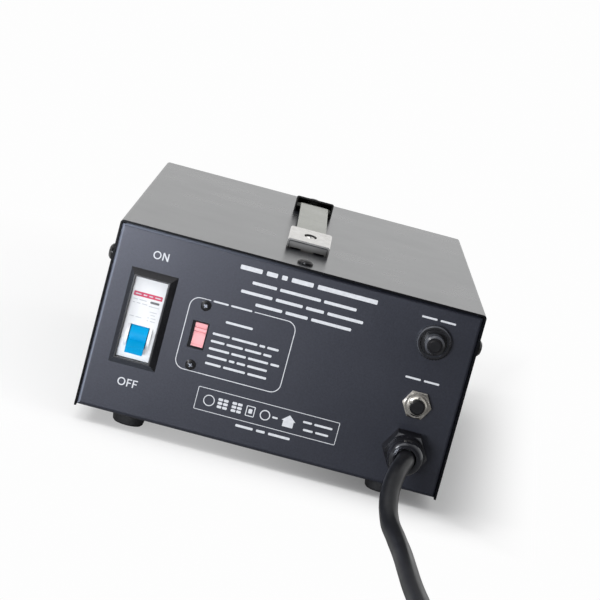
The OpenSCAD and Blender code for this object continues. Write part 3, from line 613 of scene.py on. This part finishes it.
# Lines of bars: left end, right end, drop, height, and how long each word is
HEADING = [
    (70.7, 149.2, 8.6, 2.5, (4, 2, 1, 4, 11)),
    (79.3, 139.0, 15.7, 1.7, (6, 10, 8)),
    (74.3, 144.3, 21.7, 1.7, (7, 6, 4, 8)),
    (84.0, 138.9, 27.3, 1.7, (6, 5, 9)),
]
SELECTOR_LINES = [
    (61.0, 83.2, 31.4, 1.0, (5, 7)),
    (70.5, 86.0, 41.0, 1.3, (8,)),
    (65.1, 103, 49.0, 1.3, (6, 9, 2, 4)),
    (65.1, 100, 53.3, 1.3, (5, 6, 6, 3)),
    (65.1, 105.5, 57.6, 1.3, (7, 5, 7, 3)),
    (65.1, 99.6, 61.9, 1.3, (7, 2, 3, 7)),
    (65.1, 100.3, 66.2, 1.3, (5, 7, 6)),
]
LOWER_LINES = [
    (126.5, 143.5, 84.4, 1.2, (3, 6)),
    (127.6, 142.2, 88.8, 1.2, (3, 4)),
    (90.4, 121.8, 96.1, 1.4, (4, 2, 5)),
]
CUTOUT_LINES = [
    (175.0, 194.5, 9.3, 1.1, (4, 4)),
    (175.0, 194.5, 44.5, 1.1, (4, 4)),
]
BREAKER_LINES = [
    (17.4, 25.2, 41.0, 0.5, (3, 5)),
    (17.4, 26.0, 43.0, 0.5, (2, 3, 4)),
    (26.8, 33.0, 43.4, 0.45, (7,)),
    (17.6, 24.6, 50.8, 0.5, (3, 4)),
    (28.0, 32.4, 46.4, 0.45, (4,)),
    (28.8, 31.6, 48.0, 0.45, (2,)),
    (27.6, 32.4, 49.8, 0.45, (1, 3)),
    (27.6, 32.6, 51.5, 0.45, (1, 3)),
]
BAND_WORDS = 17.9, 32.6, 37.9, 0.65, (3, 2, 2, 3)


def selector_outline(sheet):
    """Rounded frame round the selector, open at its heading."""
    left, right, top, bottom, r, width = 54, 103.7, 36.8, 67.4, 5.4, 0.46
    start, end = (59.5, top - r), (84.6, top - r)
    sheet.stroke([start] + arc(left, top, r, 270, 180) + arc(left, bottom, r, 180, 90)
                 + arc(right, bottom, r, 90, 0) + arc(right, top, r, 0, -90) + [end], width)


def lower_shapes(sheet):
    """Lower frame, with a row of plain shapes in it."""
    middle = 86.4
    sheet.stroke(rounded(65.3, 79.9, 146.7, 92.8, 0.5), 0.36, True)
    sheet.stroke(ring(72.6, middle, 3.0), 0.5, True)
    near, far, pitch, height = 0.25, 2.9, 2.1, 1.5
    for x in (80.5, 88.6):
        for row in (-1, 0, 1):
            sheet.bar(x - far, x - near, middle + row * pitch, height)
            sheet.bar(x + near, x + far, middle + row * pitch, height)
    sheet.stroke(rounded(94.2, 83.6, 98.8, 89.2, 0.3), 0.5, True)
    sheet.bar(95.4, 97.6, middle, 2.6)
    sheet.stroke(ring(105, middle, 2.7), 0.6, True)
    sheet.bar(109.2, 112.4, middle, 1.1)
    sheet.polygon([(114.6, 86.3), (118.6, 82.8), (122.6, 86.3), (121.6, 86.3), (121.6, 89.8), (115.6, 89.8),
                   (115.6, 86.3)])


PANEL_INK = 0.05
panel = Print(PANEL_INK)
letter_o(panel, 24.4, ON_DROP)
letter_o(panel, 22.5, OFF_DROP)
letter_n(panel, 27.5, ON_DROP)
for x in (25.6, 28.9):
    letter_f(panel, x, OFF_DROP)
panel.lines(HEADING)
selector_outline(panel)
panel.lines(SELECTOR_LINES)
lower_shapes(panel)
panel.lines(LOWER_LINES)
panel.lines(CUTOUT_LINES)
panel.make("panel_print", ink, "white_plastic")

# Label on the breaker's face, which stands out from the panel
FACE_INK = 1.04
BAND_INK = 1.08
band = Print(FACE_INK)
band.bar(17.0, 33.4, 37.9, 2.6)
band.make("breaker_band", red_ink, "red_plastic")
band_words = Print(BAND_INK)
band_words.words(*BAND_WORDS)
band_words.make("breaker_band_words", ink, "white_plastic")
marks = Print(FACE_INK)
marks.lines(BREAKER_LINES)
marks.make("breaker_marks", grey_ink, "white_plastic")
rating = Print(FACE_INK)
rating.bar(27.2, 32.4, 41.1, 1.3)
rating.make("breaker_rating_bar", dark_ink, "black_plastic")

# Cross recesses in the screw heads: thin crosses that follow the top of each head down to its shoulder, near
# black as painted shade in the cover, handle and foot screws, and light metal as a painted glint in the
# selector's screws
CROSS_ARM = 0.13
HEAD_FLAT = 0.18
HEAD_SLOPE = 0.15
CROSS_LIFT = 0.06 * MM
COVER_CROSS, COVER_HEAD, COVER_HEAD_HEIGHT = 5.4 * MM, 9 * MM, 2.7 * MM
UPPER_SCREW_IN = 13.5 * MM
SIDE_SCREW_IN = 10 * MM
SIDE_SCREW_DROP = 20.3 * MM
SELECTOR_CROSS, SELECTOR_HEAD, SELECTOR_HEAD_HEIGHT = 2.4 * MM, 5.9 * MM, 1.9 * MM
SELECTOR_LEFT, SELECTOR_DROP, SELECTOR_SCREW_RISE, SELECTOR_SCREW_OUT = 57.5, 52.2, 17.25, 1.9
HANDLE_CROSS, HANDLE_HEAD_HEIGHT = 4.0 * MM, 2.4 * MM
FOOT_CROSS, FOOT_HEAD, FOOT_HEAD_HEIGHT = 4.6 * MM, 8.2 * MM, 2 * MM
FOOT_RADIUS = 10 * MM


class Crosses:
    def __init__(self):
        self.points, self.faces = [], []

    def cut(self, centre, out, up, size, head, height):
        side = up.cross(out)
        far, half, flat = size / 2, size * CROSS_ARM, head * HEAD_FLAT

        def spot(x, y):
            drop = max(math.hypot(x, y) - flat, 0) * HEAD_SLOPE * height / flat
            self.points.append(centre + side * x + up * y + out * (CROSS_LIFT - drop))
            return len(self.points) - 1

        corners = (half, half), (-half, half), (-half, -half), (half, -half)
        self.faces.append([spot(x, y) for x, y in corners])
        for c, s in ((1, 0), (0, 1), (-1, 0), (0, -1)):
            steps = [half, flat, far] if far > flat > half else [half, far]
            pairs = [[spot(c * r - s * w, s * r + c * w) for w in (-half, half)] for r in steps]
            for (a, b), (d, e) in zip(pairs, pairs[1:]):
                self.faces.append([a, d, e, b])

    def make(self, name, finish, slot):
        piece(name, self.points, self.faces, finish)


def cover_crosses():
    crosses = Crosses()
    low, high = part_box("cover_screws")
    sizes = COVER_CROSS, COVER_HEAD, COVER_HEAD_HEIGHT
    for y in (PANEL + UPPER_SCREW_IN, BACK - UPPER_SCREW_IN):
        crosses.cut(Vector((0, y, high.z)), Z, (X + Y).normalized(), *sizes)
    for y in (PANEL + SIDE_SCREW_IN, BACK - SIDE_SCREW_IN):
        crosses.cut(Vector((high.x, y, TOP - SIDE_SCREW_DROP)), X, Z, *sizes)
        crosses.cut(Vector((low.x, y, TOP - SIDE_SCREW_DROP)), -X, Z, *sizes)
    return crosses


def selector_crosses():
    crosses = Crosses()
    for drop in (SELECTOR_DROP - SELECTOR_SCREW_RISE, SELECTOR_DROP + SELECTOR_SCREW_RISE):
        crosses.cut(on_panel(SELECTOR_LEFT, drop, SELECTOR_SCREW_OUT), -Y, (0.5 * X + Z).normalized(),
                    SELECTOR_CROSS, SELECTOR_HEAD, SELECTOR_HEAD_HEIGHT)
    return crosses


def bright_crosses():
    """Painted shade in the cross recesses of the handle's screws and of the screws in the feet."""
    crosses = Crosses()
    low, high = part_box("handle_screws")
    for cap in (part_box("handle_cap_front"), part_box("handle_cap_rear")):
        middle = Vector((0, (cap[0].y + cap[1].y) / 2, high.z))
        crosses.cut(middle, Z, X, HANDLE_CROSS, high.x - low.x, HANDLE_HEAD_HEIGHT)
    low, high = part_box("rubber_feet")
    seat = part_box("foot_screws")[0].z
    for x in (low.x + FOOT_RADIUS, high.x - FOOT_RADIUS):
        for y in (low.y + FOOT_RADIUS, high.y - FOOT_RADIUS):
            crosses.cut(Vector((x, y, seat)), -Z, Y, FOOT_CROSS, FOOT_HEAD, FOOT_HEAD_HEIGHT)
    return crosses


cover_crosses().make("cover_cross_shade", recess_shade, "black_screws")
selector_crosses().make("selector_cross_glints", painted_glint_metal, "black_screws")
bright_crosses().make("bright_screw_cross_shade", recess_shade, "zinc_steel")

# Floor, in metres: it takes the object's shadow, and past the shadow the camera sees plain white. Under the
# shadow the floor also glows white for the camera, painted light that lightens the shadow, most on the left
PLAIN_WHITE = 0.985
FLOOR_HALF = 9


def floor_fade(tree, where, place):
    """Share of plain white that the camera sees, a glow of painted light: all of it past the shadow, and
    under the shadow a part that lightens it, most on the left.
    """
    away = add(tree, "ShaderNodeVectorMath", operation="LENGTH")
    tree.links.new(where, away.inputs[0])
    round_about = span(tree, away.outputs["Value"], 0.22, 0.62)
    beside = calc(tree, "SUBTRACT", place["X"], calc(tree, "MULTIPLY", place["Y"], 0.085))
    right = span(tree, beside, 0.118, 0.178)
    front = span(tree, place["Y"], -0.14, -0.22)
    clear = calc(tree, "MAXIMUM", round_about, calc(tree, "MAXIMUM", right, front))
    lift = span(tree, place["X"], -0.05, 0.11, 0.42, 0.1)
    return calc(tree, "ADD", lift, calc(tree, "MULTIPLY", clear, calc(tree, "SUBTRACT", 1, lift)))


def floor_finish():
    m, tree, shader = new_material("floor")
    where = add(tree, "ShaderNodeTexCoord").outputs["Object"]
    place = parts_of(tree, where)
    path = add(tree, "ShaderNodeLightPath").outputs
    # painted shade: reflections of the floor are dimmer on the right
    dim = calc(tree, "MULTIPLY", path["Is Glossy Ray"], span(tree, place["X"], -0.3, 0.2, 0.0, 0.65))
    tone = add(tree, "ShaderNodeMix", data_type="RGBA")
    first, second, result = COLOUR_MIX
    tree.links.new(dim, tone.inputs[0])
    cloud = colours(tree, noise(tree, where, 3, 3), (0.9, 0.9, 0.9), (0.93, 0.93, 0.93))
    tree.links.new(cloud, tone.inputs[first])
    tone.inputs[second].default_value = (0, 0, 0, 1)
    tree.links.new(tone.outputs[result], shader.inputs["Base Color"])
    shader.inputs["Roughness"].default_value = 0.9
    shader.inputs["Specular IOR Level"].default_value = 0.1
    seen = calc(tree, "MULTIPLY", path["Is Camera Ray"], floor_fade(tree, where, place))
    plain = add(tree, "ShaderNodeEmission")
    plain.inputs["Color"].default_value = (PLAIN_WHITE, PLAIN_WHITE, PLAIN_WHITE, 1)
    mix = add(tree, "ShaderNodeMixShader")
    tree.links.new(seen, mix.inputs["Fac"])
    tree.links.new(shader.outputs["BSDF"], mix.inputs[1])
    tree.links.new(plain.outputs["Emission"], mix.inputs[2])
    tree.links.new(mix.outputs["Shader"], tree.nodes["Material Output"].inputs["Surface"])
    return m


def make_floor():
    f = FLOOR_HALF
    mesh = bpy.data.meshes.new("floor")
    mesh.from_pydata([(-f, -f, 0), (f, -f, 0), (f, f, 0), (-f, f, 0)], [], [(0, 1, 2, 3)])
    mesh.materials.append(floor_finish())
    return link(bpy.data.objects.new("floor", mesh))


floor = make_floor()

# Light: a studio that is white behind the object and darker behind the camera, and four lamps
SOFT_LEVEL = 0.62
COOL = 0.9, 0.93, 1.0


def studio_world():
    world = bpy.data.worlds.new("studio")
    bpy.context.scene.world = world
    world.use_nodes = True
    tree = world.node_tree
    sky = tree.nodes["Background"]
    way = parts_of(tree, add(tree, "ShaderNodeTexCoord").outputs["Generated"])
    path = add(tree, "ShaderNodeLightPath").outputs
    shade = span(tree, way["Y"], -0.8, 0.4, 0.12, 1.0)
    soft = blend(tree, path["Is Glossy Ray"], SOFT_LEVEL, shade)
    clear = calc(tree, "MAXIMUM", path["Is Camera Ray"], path["Is Transmission Ray"])
    tree.links.new(blend(tree, clear, soft, PLAIN_WHITE), sky.inputs["Strength"])
    sky.inputs["Color"].default_value = (1, 1, 1, 1)


def softbox(name, place, target, width, height, power, colour=(1, 1, 1)):
    lamp = bpy.data.lights.new(name, "AREA")
    lamp.shape = "RECTANGLE"
    lamp.size, lamp.size_y = width, height
    lamp.energy = power
    lamp.color = colour
    o = link(bpy.data.objects.new(name, lamp))
    o.location = place
    o.rotation_euler = (Vector(target) - Vector(place)).to_track_quat("-Z", "Y").to_euler()


studio_world()
softbox("overhead", (-0.9, -0.5, 1.7), (0, 0, 0), width=1.6, height=1.6, power=13)
softbox("key", (-1.15, -0.6, 0.95), (0, -0.1, 0.06), width=0.4, height=0.4, power=8)
softbox("left_front", (-0.37, -1.3, 0.055), (-0.06, -0.158, 0.07), width=0.4, height=0.11, power=8.4,
        colour=COOL)
softbox("left_low", (-1.0, -0.75, 0.12), (0, -0.158, 0.06), width=0.3, height=0.3, power=2, colour=COOL)
